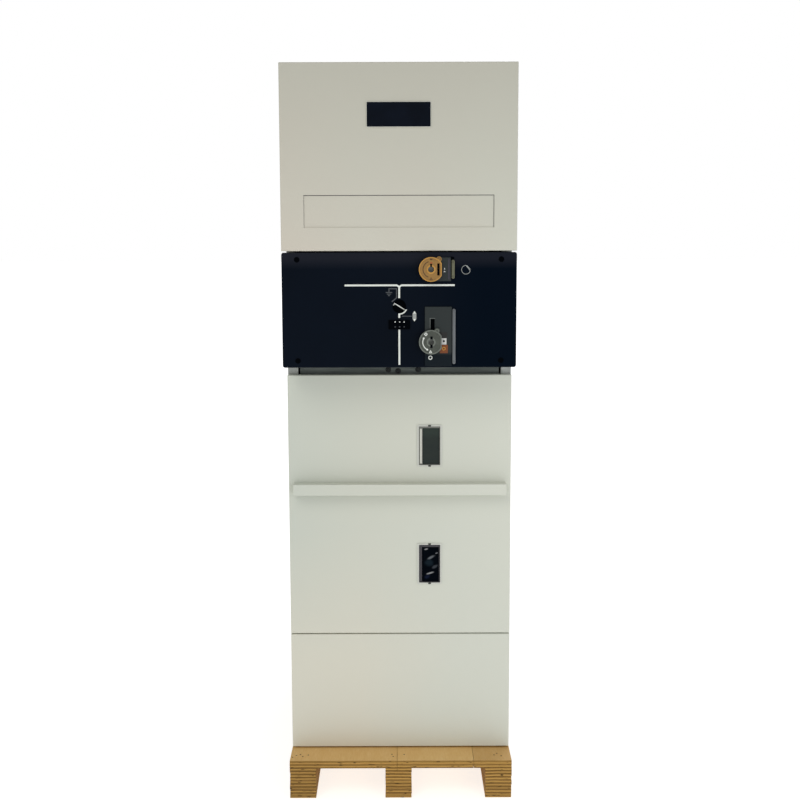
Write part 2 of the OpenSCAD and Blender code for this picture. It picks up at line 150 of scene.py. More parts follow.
# Raw plywood, sawn edge: dry and matt, so that the layers show as bands of light and dark
# brown with thin dark glue lines, and the fibres as fine streaks along each layer. It is
# browner towards the left-hand end.
plywood_edge, add, shader, place = start_finish("raw_plywood_sawn_edge", Roughness=0.82,
    Specular_IOR_Level=0.25)
axes = add("SeparateXYZ", place).node.outputs
wander = add("TexNoise", Vector=place, Scale=26.0, Detail=3.0)
drift = add("Math", wander, 2.8 * MM, operation="MULTIPLY")
height = add("Math", axes["Z"], drift, operation="ADD")
count = add("Math", height, VENEER, operation="DIVIDE")
veneer = add("Math", count, operation="FLOOR")
chance = add("TexWhiteNoise", W=veneer, noise_dimensions="1D")
crossed = add("Math", veneer, 2.0, operation="FLOORED_MODULO")
shift = add("MapRange", chance, To_Min=-0.6, To_Max=0.5)
tone = add("Math", crossed, shift, operation="ADD", use_clamp=True)
across = add("Math", count, operation="FRACT")
glue = add("MapRange", across, From_Max=0.28, To_Min=0.72, To_Max=0.0)
fibre = add("TexNoise", Vector=add("Mapping", Vector=place, Scale=(35.0, 35.0, 620.0)), Scale=1.0,
    Detail=4.0, Roughness=0.65)
voids = add("TexNoise", Vector=add("Mapping", Vector=place, Scale=(55.0, 55.0, 330.0)), Scale=1.0,
    Detail=1.0)
void = add("MapRange", voids, From_Min=0.64, From_Max=0.72)
layers = add("Mix", tone, "D2A354", "644417")
wood = add("Mix", 0.38, layers, add("Mix", fibre, "5A3C14", "D4AC62"))
glued = add("Mix", glue, wood, "5A3F1C")
browner_left = add("MapRange", axes["X"], From_Min=-0.19, From_Max=-0.12, To_Min=0.15, To_Max=0.0)
holed = add("Mix", void, add("Mix", browner_left, glued, "3B2810"), "2A1C0E")
relief = add("Bump", Height=add("Math", fibre, void, operation="SUBTRACT"), Strength=0.5,
    Distance=0.5 * MM)
feed(shader, {"Base Color": holed, "Normal": relief})

# Raw plywood, face veneer: rotary cut, so the grain runs in broad wavy bands with a few
# fine pores; each board takes its own shade from the tone value stored on its faces.
plywood_face, add, shader, place = start_finish("raw_plywood_face_veneer", Roughness=0.7,
    Specular_IOR_Level=0.3)
board = add("Attribute", attribute_name="board_tone", out="Fac")
bands = add("TexNoise", Vector=add("Mapping", Vector=place, Scale=(34.0, 5.0, 34.0)), Scale=1.0,
    Detail=5.0, Distortion=1.4)
pores = add("TexNoise", Vector=add("Mapping", Vector=place, Scale=(420.0, 45.0, 420.0)), Scale=1.0)
pored = add("Mix", pores, "DDAF68", add("Mix", bands, "E2B56F", "FADCA0"))
feed(shader, {"Base Color": add("Mix", board, pored, "B4884A"), "Normal": add("Bump", Height=pores,
    Strength=0.3, Distance=0.3 * MM)})


def stack_layers(bm, low, high, layer, ragged, dice, tone):
    """Adds a glued stack of layers, each a little longer or shorter than the next."""
    shade = bm.faces.layers.float.get("board_tone") or bm.faces.layers.float.new("board_tone")
    count = max(1, round((high[2] - low[2]) / layer))
    for i in range(count):
        ends = [dice.uniform(0.0, ragged) for _ in range(4)]
        z0 = low[2] + (high[2] - low[2]) * i / count
        z1 = low[2] + (high[2] - low[2]) * (i + 1) / count
        for face in add_box(bm, (low[0] + ends[0], low[1] + ends[1], z0),
                (high[0] - ends[2], high[1] - ends[3], z1)):
            face.normal_update()
            face.material_index = 1 if abs(face.normal.z) > 0.5 else 0
            face[shade] = tone


dice = random.Random(7)
for side in ("left", "middle", "right"):
    bm = bmesh.new()
    stack_layers(bm, *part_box("pallet_bearer_" + side), BEARER_LAYER, BEARER_RAGGED, dice, BEARER_TONE)
    make_piece("bearer_" + side, bm, [plywood_edge, plywood_face], "plywood", ["pallet_bearer_" + side],
        rounded=0.7 * MM)

# ----------------------------
# Pallet deck: plywood boards laid front to back across the bearers with butt joints, nailed
# down through the face. The right-hand board is an older, darker offcut.

BOARD_JOINTS = (-8 * MM, 165 * MM)
BOARD_TONES = (0.05, 0.0, 0.38)
BOARD_GAP = 0.3 * MM
DECK_LAYER = 6 * MM
DECK_RAGGED = 0.3 * MM
NAIL_SPOTS = [(-246, -471), (-238, -462), (-229, -457), (-211, -460), (-223, -468), (-20, -457),
    (-17, -469), (8, -458), (213, -462), (220, -453), (229, -467)]
TO_FRONT, TO_REAR, TO_TOP = (math.pi / 2, 0, 0), (-math.pi / 2, 0, 0), (0, 0, 0)

bm = bmesh.new()
low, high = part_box("pallet_deck")
edges = [low.x, *BOARD_JOINTS, high.x]
for i, tone in enumerate(BOARD_TONES):
    inset = [BOARD_GAP / 2 if edge in BOARD_JOINTS else 0.0 for edge in edges[i:i + 2]]
    stack_layers(bm, (edges[i] + inset[0], low.y, low.z), (edges[i + 1] - inset[1], high.y, high.z),
        DECK_LAYER, DECK_RAGGED, dice, tone)
make_piece("deck_boards", bm, [plywood_edge, plywood_face], "plywood", ["pallet_deck"],
    rounded=0.5 * MM)


def fastener_tree():
    """Geometry nodes that set a cone-shaped head on each point, with or without a cross recess."""
    tree = bpy.data.node_groups.new("fastener heads", "GeometryNodeTree")
    add = partial(add_node, tree)
    identifiers = [tree.interface.new_socket(label, in_out="INPUT", socket_type="NodeSocket"
        + kind).identifier for label, kind in (("Places", "Geometry"), ("Head radius", "Float"),
        ("Top share", "Float"), ("Head height", "Float"), ("Recess width", "Float"), ("Sides", "Int"),
        ("Facing", "Vector"), ("Seed", "Int"), ("Finish", "Material"))]
    tree.interface.new_socket("Heads", in_out="OUTPUT", socket_type="NodeSocketGeometry")
    given = add("NodeGroupInput").node.outputs
    radius, tall, recess = (given[label] for label in ("Head radius", "Head height", "Recess width"))
    head = add("GeometryNodeMeshCone", Vertices=given["Sides"], Radius_Bottom=radius, Depth=tall,
        Radius_Top=add("Math", radius, given["Top share"], operation="MULTIPLY"))
    length = add("Math", recess, 4.0, operation="MULTIPLY")
    cut = add("GeometryNodeMeshBoolean", head, operation="DIFFERENCE", solver="MANIFOLD")
    for size in ((recess, length), (length, recess)):
        bar = add("GeometryNodeMeshCube", Size=add("CombineXYZ", *size, tall))
        raised = add("GeometryNodeTransform", Geometry=bar, Translation=add("CombineXYZ", Z=tall))
        tree.links.new(raised, cut.node.inputs[1])
    has_recess = add("FunctionNodeCompare", recess, 0.0, operation="GREATER_THAN")
    chosen = add("GeometryNodeSwitch", has_recess, head, cut, input_type="GEOMETRY")
    spin = add("FunctionNodeRandomValue", Seed=given["Seed"], data_type="FLOAT", out=1)
    feed(spin.node, {3: math.tau})
    own = add("FunctionNodeEulerToRotation", add("CombineXYZ", Z=spin))
    outward = add("FunctionNodeEulerToRotation", given["Facing"])
    turned = add("FunctionNodeRotateRotation", outward, own, rotation_space="LOCAL")
    placed = add("GeometryNodeInstanceOnPoints", Points=given["Places"], Instance=chosen,
        Rotation=turned)
    solid = add("GeometryNodeRealizeInstances", placed)
    add("NodeGroupOutput", add("GeometryNodeSetMaterial", Geometry=solid, Material=given["Finish"]))
    return tree, identifiers[1:]


fastener_nodes, fastener_inputs = fastener_tree()


def fit_fasteners(name, places, radius, height, finish, facing=TO_FRONT, recess=0.0, sides=24,
        top=0.8, seed=1):
    """Sets a head at each place and turns the result into one plain mesh."""
    points = bpy.data.meshes.new(name + "_places")
    points.from_pydata([tuple(p) for p in places], [], [])
    holder = add_object(name + "_places", points)
    nodes = holder.modifiers.new("fasteners", "NODES")
    nodes.node_group = fastener_nodes
    values = (radius, top, height, recess, sides, facing, seed, finish)
    for identifier, value in zip(fastener_inputs, values):
        nodes[identifier] = value
    graph = bpy.context.evaluated_depsgraph_get()
    mesh = bpy.data.meshes.new_from_object(holder.evaluated_get(graph), depsgraph=graph)
    mesh.name = name
    mesh.set_sharp_from_angle(angle=math.radians(35))
    bpy.data.objects.remove(holder)
    piece = add_object(name, mesh)
    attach(piece, "cubicle")


def mottled(name, dark, light, scale, detail=2.0, distortion=0.0, grain=0.0, gloss=None,
        **shader_values):
    """A finish that drifts between two colours.

    scale is the pattern's, one value or one along each axis; grain is the depth of its relief,
    and gloss is the roughness from its dark to its light spots.
    """
    material, add, shader, place = start_finish(name, **shader_values)
    if isinstance(scale, tuple):
        place, scale = add("Mapping", Vector=place, Scale=scale), 1.0
    noise = add("TexNoise", Vector=place, Scale=scale, Detail=detail, Distortion=distortion)
    feed(shader, {"Base Color": add("Mix", noise, dark, light)})
    if grain:
        feed(shader, {"Normal": add("Bump", Height=noise, Strength=0.1, Distance=grain)})
    if gloss:
        feed(shader, {"Roughness": add("MapRange", noise, To_Min=gloss[0], To_Max=gloss[1])})
    return material


# Bright nail steel gone dull: small dark dots on the pale wood.
nail_steel = mottled("dull_nail_steel", "2A241F", "5A4230", 900.0, Roughness=0.6, Metallic=0.7)
nail_points = [(x * MM, y * MM * way, high.z - 0.2 * MM) for x, y in NAIL_SPOTS for way in (1, -1)]
fit_fasteners("deck_nails", nail_points, 1.9 * MM, 0.5 * MM, nail_steel, facing=TO_TOP,
    sides=12, top=0.85)

# ----------------------------
# Zinc coated body: floor tray, two side walls with a folded front flange and the rear wall,
# cut and folded from hot-dip coated sheet, riveted and screwed together.

SHEET = 2 * MM
REAR_SCREW_PITCH = 190 * MM
SCREW_IN = 12 * MM
SCREW_R, SCREW_HEIGHT, SCREW_RECESS = 5.2 * MM, 2.6 * MM, 1.3 * MM

# Hot-dip zinc on steel: a cool grey metal whose crystals, about 12 mm across, each catch the
# light a little differently, and whose surface is dulled by a thin white bloom.
zinc_sheet, add, shader, place = start_finish("hot_dip_zinc_coated_steel", Metallic=0.9)
warped = add("TexNoise", Vector=place, Scale=40.0, Detail=2.0, out="Color")
bent = add("Mix", 0.02, place, warped, data_type="VECTOR")
crystal = add("TexVoronoi", Vector=bent, Scale=85.0, out="Color")
shade = add("SeparateColor", crystal).node.outputs
bloom = add("TexNoise", Vector=place, Scale=9.0, Detail=4.0)
feed(shader, {"Base Color": add("Mix", bloom, add("Mix", shade[0], "8D918F", "B4B7B3"), "A2A5A1"),
    "Roughness": add("MapRange", shade[1], To_Min=0.36, To_Max=0.58)})


def cad_piece(node, finish, slot, rounded, name=None, **settings):
    """A copy of a CAD node with its flat faces joined and its edges rounded."""
    bm = bmesh.new()
    bm.from_mesh(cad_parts[node].data)
    for face in bm.faces:
        face.material_index = 0
    bmesh.ops.remove_doubles(bm, verts=bm.verts, dist=0.002 * MM)
    bmesh.ops.dissolve_limit(bm, angle_limit=math.radians(0.6), verts=bm.verts, edges=bm.edges)
    make_piece(name or node + "_sheet", bm, finish, slot, [node], rounded=rounded, **settings)


def dress_node(node, material):
    """Gives a CAD node, which stays as it is, its finish."""
    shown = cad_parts[node]
    if not shown.material_slots:
        shown.data.materials.append(material)
    for own in shown.material_slots:
        own.material = material


for node in ("floor_tray", "tank_floor", "shaft_carrier_plate"):
    dress_node(node, zinc_sheet)
for node in ("side_panel_left", "side_panel_right", "rear_panel"):
    cad_piece(node, zinc_sheet, "zinc_steel", 0.6 * MM)

low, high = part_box("rear_panel")
span = high.z - low.z - 2 * SCREW_IN
rows = round(span / REAR_SCREW_PITCH)
rear_spots = [(x, high.y - 0.1 * MM, low.z + SCREW_IN + span * i / rows)
    for x in (low.x + SCREW_IN, high.x - SCREW_IN) for i in range(rows + 1)]
fit_fasteners("rear_screws", rear_spots, SCREW_R, SCREW_HEIGHT, zinc_sheet,
    facing=TO_REAR, recess=SCREW_RECESS, seed=3)

# ----------------------------
# Lower front: a bottom panel and the tall cable compartment panel, both lift-off trays folded
# from 2 mm sheet with closed corners, ground smooth and powder coated cream.

FOLD_RADIUS = 2.2 * MM
WINDOW_LAP = 2.5 * MM
HALF_WIDTH = 0.25


def cream_finish(name, base, warm_reflection, cool, painted_shade, painted_shade_up, painted_shade_right):
    """Powder coat with a painted warm reflection to the left and painted shade towards the top left
    corner.

    painted_shade_up holds the heights between which the painted shade sets in, and painted_shade_right
    its share left at the right-hand edge.
    """
    material, add, shader, place = start_finish(name, IOR=1.5)
    cloud = add("TexNoise", Vector=add("Mapping", Vector=place, Scale=(2.2, 2.2, 1.4)), Scale=1.0,
        Detail=3.0)
    axes = add("SeparateXYZ", place).node.outputs
    width = {"From_Min": -HALF_WIDTH, "From_Max": HALF_WIDTH}
    across = add("MapRange", axes["X"], **width, To_Min=-0.25, To_Max=0.25)
    cloud_and_reflection = add("Math", cloud, across, operation="ADD")
    spread = add("MapRange", cloud_and_reflection, From_Min=0.3, From_Max=0.7)
    wipe = add("TexNoise", Vector=place, Scale=14.0, Detail=5.0)
    film = add("MapRange", wipe, To_Max=0.16)
    coat = add("Mix", film, add("Mix", spread, warm_reflection, cool), base)
    upward = add("MapRange", axes["Z"], From_Min=painted_shade_up[0], From_Max=painted_shade_up[1])
    leftward = add("MapRange", axes["X"], **width, To_Min=1.0, To_Max=painted_shade_right)
    shade_share = add("Math", upward, leftward, operation="MULTIPLY")
    # Orange peel is about 1 mm across; it is drawn at 2.5 mm so that it still shows.
    peel = add("TexNoise", Vector=place, Scale=400.0, Detail=1.0)
    feed(shader, {"Base Color": add("Mix", shade_share, coat, painted_shade), "Roughness": add("MapRange", wipe,
        To_Min=0.36, To_Max=0.5), "Normal": add("Bump", Height=peel, Strength=0.12, Distance=0.2 * MM)})
    return material


# Powder coat, semi-gloss, over folded sheet: an even cream with soft highlights along the
# folds, very slightly cloudy, with the fine orange peel of a baked coat; painted shade darkens it
# towards the top left.
cream_lower = cream_finish("cream_powder_coat", "DBDCCF", "DEDCCD", "D9DCD0", "CFD4C9", (0.3, 0.6), 0.0)


def add_panel(bm, low, high, thickness, openings=(), bores=(), tray=True):
    """Adds a flat panel between two corners, with its edges folded back when it is a tray.

    Openings are (x0, x1, z0, z1), and bores are (x, z, radius).
    """
    corners = {}

    def corner(x, y, z):
        key = (round(x, 7), round(y, 7), round(z, 7))
        if key not in corners:
            corners[key] = bm.verts.new((x, y, z))
        return corners[key]

    rooms = [(x - 1.3 * r, x + 1.3 * r, z - 1.3 * r, z + 1.3 * r) for x, z, r in bores]
    whole = (low.x, high.x, low.z, high.z)
    inner = (low.x + thickness, high.x - thickness, low.z + thickness, high.z - thickness)
    y_back = low.y + thickness
    fine = 1e-6

    def lines(limit, first):
        """Grid lines across a surface: its own limits and those of every cut-out."""
        return sorted({round(v, 7) for box in (limit, *openings, *rooms) for v in box[first:first + 2]})

    def around(box, limit):
        """Points of a box's four sides in turn, with the grid lines that meet them."""
        across = [x for x in lines(limit, 0) if box[0] - fine < x < box[1] + fine]
        upward = [z for z in lines(limit, 2) if box[2] - fine < z < box[3] + fine]
        return ([(box[1], z) for z in upward], [(x, box[3]) for x in across[::-1]],
            [(box[0], z) for z in upward[::-1]], [(x, box[2]) for x in across])

    def within(cell, box):
        return all(cell[i] > box[i] - fine and cell[i + 1] < box[i + 1] + fine for i in (0, 2))

    behind = inner if tray else whole
    for y, limit in ((low.y, whole), (y_back, behind)):
        xs, zs = lines(limit, 0), lines(limit, 2)
        for x0, x1 in zip(xs, xs[1:]):
            for z0, z1 in zip(zs, zs[1:]):
                if not any(within((x0, x1, z0, z1), box) for box in (*openings, *rooms)):
                    bm.faces.new([corner(x, y, z) for x, z in ((x0, z0), (x1, z0), (x1, z1), (x0, z1))])
    for side, far in zip(around(whole, whole), around(behind, behind)):
        front = [corner(x, low.y, z) for x, z in side]
        if tray:
            ends = [corner(side[i][0], high.y, side[i][1]) for i in (-1, 0)]
            far_ends = [corner(far[i][0], high.y, far[i][1]) for i in (-1, 0)]
            bm.faces.new(front + ends)
            bm.faces.new([*ends, far_ends[1], far_ends[0]])
            bm.faces.new([corner(x, y_back, z) for x, z in far] + far_ends)
        else:
            bm.faces.new(front + [corner(x, y_back, z) for x, z in far[::-1]])
    for box in openings:
        for side in around(box, whole):
            bm.faces.new([corner(x, low.y, z) for x, z in side] + [corner(x, y_back, z) for x,
                z in side[::-1]])
    for (cx, cz, radius), room in zip(bores, rooms):
        for quarter, side in enumerate(around(room, whole)):
            turns = [math.radians(90 * quarter - 45 + 90 * i / 16) for i in range(17)]
            rim = [(cx + radius * math.cos(t), cz + radius * math.sin(t)) for t in turns]
            for y in (low.y, y_back):
                bm.faces.new([corner(x, y, z) for x, z in [*side, *rim[::-1]]])
            for (xa, za), (xb, zb) in zip(rim, rim[1:]):
                bm.faces.new([corner(xa, low.y, za), corner(xb, low.y, zb), corner(xb, y_back, zb),
                    corner(xa, y_back, za)])
    bmesh.ops.recalc_face_normals(bm, faces=bm.faces)
    bm.normal_update()
    return bm


def round_folds(bm, low, high, corner_share, fold_share):
    """Marks the front folds and the corners between the returns with their share of the radius."""
    weight = bm.edges.layers.float.new("bevel_weight_edge")
    for edge in bm.edges:
        a, b = (v.co for v in edge.verts)
        on_side = [abs(a[i] - limit) < 1e-6 and abs(b[i] - limit) < 1e-6 for i in (0, 2)
            for limit in (low[i], high[i])]
        if sum(on_side) == 2:
            edge[weight] = corner_share
        elif sum(on_side) == 1 and abs(a.y - low.y) < 1e-6 and abs(b.y - low.y) < 1e-6:
            edge[weight] = fold_share
        elif edge.calc_face_angle(0.0) > math.radians(25):
            edge.smooth = False
    return bm


def folded_panel(node, material, slot, openings=(), bores=(), radius=FOLD_RADIUS, corner_share=0.5,
        fold_share=1.0):
    """A sheet panel of a CAD node's size, folded back on all sides, with rounded folds."""
    low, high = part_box(node)
    bm = round_folds(add_panel(bmesh.new(), low, high, SHEET, openings, bores), low, high, corner_share,
        fold_share)
    piece = make_piece(node + "_sheet", bm, material, slot, [node], rounded=radius, steps=3)
    piece.modifiers["rounded edges"].limit_method = "WEIGHT"


def lapped_hole(node, lap):
    """The cut-out behind a node that laps over its edges: x from, x to, z from, z to."""
    low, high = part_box(node)
    return low.x + lap, high.x - lap, low.z + lap, high.z - lap


folded_panel("bottom_front_panel", cream_lower, "cream_paint")
folded_panel("cable_front_panel", cream_lower, "cream_paint", [lapped_hole("upper_window_frame",
    WINDOW_LAP), lapped_hole("lower_window_frame", WINDOW_LAP)])

# ----------------------------
# Lift ledge: an open-bottomed channel across the cable panel, by which it is lifted off. It is
# folded from the same sheet, welded on and coated with the panel.

cad_piece("lift_ledge", cream_lower, "cream_paint", 0.9 * MM, "lift_ledge_channel", steps=3)

# ----------------------------
# Inspection windows: a moulded pale frame with a raised lip, a grey liner set back inside it, a
# smoked pane behind, and a dark spring clip in the middle of the top and bottom edges.

LIP_WIDTH = 2.2 * MM
LIP_OUT = 0.8 * MM
OPENING = (48 * MM, 88 * MM)
LINER_LEFT = {"upper": 8.4 * MM, "lower": 6.6 * MM}
LINER_TOP = {"upper": 4.2 * MM, "lower": 5.8 * MM}
LINER_RIGHT = {"upper": 1.6 * MM, "lower": 2.8 * MM}
LINER_FOOT = 1.5 * MM
CLIP = (6.5 * MM, 3.4 * MM)
BEAD = (4.4 * MM, 79 * MM)


def rounded_rect(cx, cz, width, height, radius, steps=5):
    """Outline points (x, z) of a rectangle with rounded corners, anticlockwise."""
    points = []
    for i, (sx, sz) in enumerate(((1, 1), (-1, 1), (-1, -1), (1, -1))):
        for step in range(steps + 1):
            turn = math.pi / 2 * (i + step / steps)
            points.append((cx + sx * (width / 2 - radius) + radius * math.cos(turn), cz
                + sz * (height / 2 - radius) + radius * math.sin(turn)))
    return points


def middle_and_size(node):
    """Middle x and z of a CAD node, and its width and height."""
    low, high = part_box(node)
    return (low.x + high.x) / 2, (low.z + high.z) / 2, high.x - low.x, high.z - low.z


def add_plate(bm, outline, y_front, y_back, hole=None):
    """Adds an upright plate with this outline, and a hole whose outline has as many points."""
    rings = [[bm.verts.new((x, y, z)) for x, z in ring] for ring in (outline, hole) if ring
        for y in (y_front, y_back)]
    count = len(outline)
    walls = [(0, 1)] if hole is None else [(0, 1), (2, 3), (0, 2), (1, 3)]
    faces = [bm.faces.new((rings[a][i], rings[a][(i + 1) % count], rings[b][(i + 1) % count],
        rings[b][i])) for a, b in walls for i in range(count)]
    if hole is None:
        faces += [bm.faces.new(rings[0]), bm.faces.new(rings[1])]
    bmesh.ops.recalc_face_normals(bm, faces=faces)


def plate_piece(name, finish, slot, *plates, **settings):
    """A piece of upright plates: each is an outline, y from, y to and, if it has one, its hole."""
    bm = bmesh.new()
    for plate in plates:
        add_plate(bm, *plate)
    make_piece(name, bm, finish, slot, **settings)


# Moulded ABS, pale grey-white: a fine spark-eroded grain, so a soft even sheen.
frame_plastic = mottled("pale_moulded_abs", "C9CBC2", "DDDFD7", 700.0, grain=0.1 * MM, Roughness=0.4)
# Foam rubber liners: matt, so they read as a band round the pane; the lower one is darker.
liner_foams = {which: mottled(which + "_grey_foam_liner", dark, light, 500.0, 3.0, Roughness=0.9)
    for which, dark, light in (("upper", "5E605B", "8E8F89"), ("lower", "2A292E", "5A585D"))}
# Glazing bead: pale extruded strip, slightly dusty; its pale colour also paints the bright reflection
# along it.
bead_with_reflection = mottled("pale_glazing_bead_painted_reflection", "C6C7BC", "DCDDD3", 180.0, 3.0, Roughness=0.35)
# Blackened spring steel clips: dark, with worn spots.
clip_steel = mottled("blackened_spring_steel", "2C2E2B", "5A5C58", 600.0, Roughness=0.5, Metallic=0.6)


# Smoked polycarbonate: nearly black and glossy, with painted reflections: pale glints and patches that
# run up to the right.
def smoked_pane(name, dark, light, which, painted_glints):
    """A pane with painted glints: each is (x, z, half length, half width) in mm, turn, strength,
    colour.
    """
    material, add, shader, place = start_finish(name, Roughness=0.12, IOR=1.58, Specular_IOR_Level=0.01)
    cx, cz = middle_and_size(which + "_window_frame")[:2]
    wipe = add("TexNoise", Vector=place, Scale=60.0, Detail=3.0)
    colour = add("Mix", wipe, dark, light)
    for x, z, long, wide, turn, strength, shade in painted_glints:
        local = add("Mapping", Vector=place, Rotation=(0.0, math.radians(-turn), 0.0),
            Location=(cx + x * MM, 0.0, cz + z * MM), Scale=(long * MM, 1e6, wide * MM),
            vector_type="TEXTURE")
        away = add("VectorMath", local, operation="LENGTH", out="Value")
        glint_mask = add("MapRange", add("Math", wipe, away, operation="ADD"), From_Min=1.5, From_Max=0.8,
            To_Max=strength, interpolation_type="SMOOTHSTEP")
        colour = add("Mix", glint_mask, colour, shade)
    feed(shader, {"Base Color": colour})
    return material


# Painted reflections: a pale patch on the upper pane, and pale glints and dark patches on the lower
# pane.
pane_finishes = {"upper": smoked_pane("smoked_polycarbonate", "303636", "373D39", "upper",
    ((4, 34, 34, 22, 4, 0.55, "3C4640"),)), "lower": smoked_pane("black_polycarbonate", "02050A",
    "050A12", "lower", ((-8, 32.8, 6.5, 2.6, 14, 0.85, "98989A"), (16, 23.6, 4, 2, 20, 0.8, "7A7C80"),
    (3, 13.6, 13, 4, 27, 0.75, "70757A"), (-1.4, 2, 13, 11, 0, 0.5, "22303A"),
    (13, -7.4, 10, 4.4, 30, 0.55, "50555C"), (0.6, -23, 11, 2.6, 16, 0.9, "96989A"),
    (-5, -31, 10, 6, 20, 0.5, "1E2640")))}

for which in ("upper", "lower"):
    node = which + "_window_frame"
    front, panel_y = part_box(node)[0].y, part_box("cable_front_panel")[0].y
    cx, cz, width, height = middle_and_size(node)
    opening = rounded_rect(cx, cz, *OPENING, 1.5 * MM)
    outer = rounded_rect(cx, cz, width, height, 3 * MM)
    plate_piece(which + "_window_bezel", frame_plastic, "window_frame",
        (outer, front + LIP_OUT, panel_y, opening), (rounded_rect(cx, cz,
        *(side + 2 * LIP_WIDTH for side in OPENING), 2.5 * MM), front - LIP_OUT, panel_y, opening),
        (outer, front, panel_y, rounded_rect(cx, cz, width - 2 * LIP_WIDTH, height - 2 * LIP_WIDTH,
        2 * MM)), replaces=[node], rounded=0.2 * MM)

    pane_low, pane_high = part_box(which + "_window_pane")
    x0, x1 = cx - OPENING[0] / 2 + LINER_LEFT[which], cx + OPENING[0] / 2 - LINER_RIGHT[which]
    z0, z1 = cz - OPENING[1] / 2 + LINER_FOOT, cz + OPENING[1] / 2 - LINER_TOP[which]
    pane = ((x0 + x1) / 2, (z0 + z1) / 2)
    plate_piece(which + "_window_liner", liner_foams[which], "window_frame",
        (rounded_rect(cx, cz, *OPENING, 0.8 * MM), panel_y + 0.2 * MM, pane_high.y,
        rounded_rect(*pane, x1 - x0, z1 - z0, 1 * MM)), rounded=0.3 * MM)
    if which == "upper":
        plate_piece("upper_window_bead", bead_with_reflection, "window_frame",
            (rounded_rect(cx - OPENING[0] / 2 + 4.6 * MM, cz - 1 * MM, *BEAD, 1 * MM),
            panel_y - 0.3 * MM, panel_y + 0.5 * MM), rounded=0.3 * MM)
    plate_piece(which + "_window_glazing", pane_finishes[which], "window_pane",
        (rounded_rect(*pane, x1 - x0 - 0.4 * MM, z1 - z0 - 0.4 * MM, 1 * MM), pane_low.y, pane_high.y),
        replaces=[which + "_window_pane"], rounded=0.5 * MM)
    reach = OPENING[1] / 2 + CLIP[1] / 2
    plate_piece(which + "_window_clips", clip_steel, "black_cap",
        *((rounded_rect(cx, z, *CLIP, 1.2 * MM), front - 1.3 * MM, front + 1 * MM)
        for z in (cz + reach, cz - reach)), rounded=0.4 * MM)

# ----------------------------
# Cable terminations: three moulded rubber connectors that hang from the gas tank's floor, each
# with stress ribs and a cable that leaves downwards.

# Moulded EPDM rubber: black, slightly shiny, with a dusty film.
rubber = mottled("moulded_epdm_rubber", "0C0D10", "24262A", 60.0, 4.0, Roughness=0.35)
cad_piece("cable_terminations", rubber, "black_rubber", 0.0, "cable_terminations_rubber", angle=50)

# ----------------------------
# Strip above the cable panel: the folded cross member that carries the gas tank, with the
# latch plate for the panel bolted to its middle. All of it is zinc coated.

BOLT_SPOTS = ((-25, 966), (-3, 963), (42, 966))
WASHER_R, WASHER_HEIGHT, BOLT_R, BOLT_HEIGHT = 6.4 * MM, 1.4 * MM, 5 * MM, 4 * MM

# The same zinc, painted darker for the shade of the deep mechanism cover that it lies in.
shaded_zinc = mottled("painted_shade_zinc_coated_steel", "3C4342", "777D79", (14.0, 80.0, 160.0), 4.0,
    Metallic=0.85, Roughness=0.5)
for node in ("cross_member", "latch_plate"):
    cad_piece(node, shaded_zinc, "zinc_steel", 0.5 * MM)

# Bolts blackened in oil: nearly black, with a soft sheen on the worn corners.
black_bolt = mottled("oil_blackened_steel_bolts", "0F1112", "2E3232", 300.0, 3.0, Metallic=0.6,
    Roughness=0.45)
latch_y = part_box("latch_plate")[0].y + 0.1 * MM
fit_fasteners("latch_washers", [(x * MM, latch_y, z * MM) for x, z in BOLT_SPOTS], WASHER_R,
    WASHER_HEIGHT, black_bolt, top=0.96)
fit_fasteners("latch_bolts", [(x * MM, latch_y - 1.3 * MM, z * MM) for x, z in BOLT_SPOTS], BOLT_R,
    BOLT_HEIGHT, black_bolt, sides=6, top=0.9, seed=5)

# ----------------------------
# Mechanism housing: two cheeks, a top and a bottom of zinc coated sheet that stand out in front
# of the body and hold the operating mechanism and its cover.

for part in ("cheek_left", "cheek_right", "top", "bottom"):
    cad_piece("mechanism_" + part, zinc_sheet, "zinc_steel", 0.5 * MM)

# ----------------------------
# Mimic cover: a shallow tray moulded in dark navy plastic, pressed over the housing and held by
# four screws under black caps. What is on it is placed in millimetres, (x, up from its foot).

DIAL_X, EARTH_UP, SWITCH_UP, INDICATOR_UP = 67.5, 209, 55, 131
BORE_R, WINDOW_R = 10, 14.5
SLOT_X, SLOT_UP = (66.75, 75.25), (72, 104)

# Satin navy moulding: almost black, with a hint of blue; wiped patches in its gloss, a broad soft
# sheen painted on the left as lighter patches that fade to the deeper right, and lighter along its top.
navy_moulding, add, shader, place = start_finish("satin_navy_moulding", IOR=1.5)
wipes_and_sheen = add("TexNoise", Vector=place, Scale=5.0, Detail=5.0)
axes = add("SeparateXYZ", place).node.outputs
sheen_fade = add("MapRange", axes["X"], From_Min=10 * MM, From_Max=190 * MM, interpolation_type="SMOOTHSTEP")
navy_and_sheen = add("Mix", sheen_fade, add("Mix", wipes_and_sheen, "02070F", "081322"), "040D19")
lighter_top = add("MapRange", axes["Z"], From_Min=1192 * MM, From_Max=1214 * MM)
texture = add("TexNoise", Vector=place, Scale=500.0)
feed(shader, {"Base Color": add("Mix", lighter_top, navy_and_sheen, "1C1F28"),
    "Specular IOR Level": add("MapRange", sheen_fade, To_Min=0.06, To_Max=0.02),
    "Roughness": add("MapRange", wipes_and_sheen, To_Min=0.26, To_Max=0.42),
    "Normal": add("Bump", Height=texture, Strength=0.06, Distance=0.2 * MM)})
cover_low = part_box("mimic_cover")[0]
face_y = cover_low.y


def on_cover(points):
    """Points (x, z) in metres of points (x, up) on the cover, in millimetres."""
    return [(x * MM, cover_low.z + z * MM) for x, z in points]


